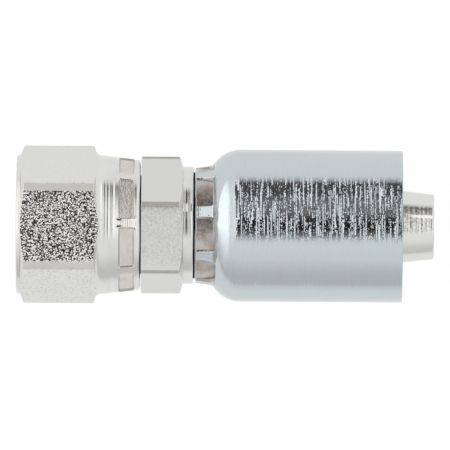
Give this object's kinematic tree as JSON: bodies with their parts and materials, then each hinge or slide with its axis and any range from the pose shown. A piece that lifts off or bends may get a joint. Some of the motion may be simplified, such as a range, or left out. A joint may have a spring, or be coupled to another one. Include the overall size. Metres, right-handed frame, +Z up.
{
  "type": "crimp hose fitting",
  "caption": "Straight crimp hose fitting with a hexagon swivel nut, a fixed wrench hexagon and a plain crimp shell round a barbed stem.",
  "frame": {"origin": "on the fitting's axis, in the plane of the swivel nut's front face", "axes": "+X along the axis from the nut to the hose end, +Z up, with the fitting lying on a flat of its nut and on its shell"},
  "size_m": [0.0755, 0.0284, 0.0274],
  "materials": {
    "plated_nut": "satin plated steel, shot-textured on the flats",
    "plated_nipple": "satin plated steel, finely turned",
    "bright_zinc_tube": "bright zinc over fine turning lines"
  },
  "bodies": {
    "hose_end": {"hose_nipple": "plated_nipple", "crimp_shell": "bright_zinc_tube"},
    "nut": {"swivel_nut": "plated_nut"}
  },
  "joints": [
    {"name": "nut_swivel", "type": "hinge", "parent": "hose_end", "child": "nut", "pos_m": [0, 0, 0], "axis": [1, 0, 0], "continuous": true}
  ]
}
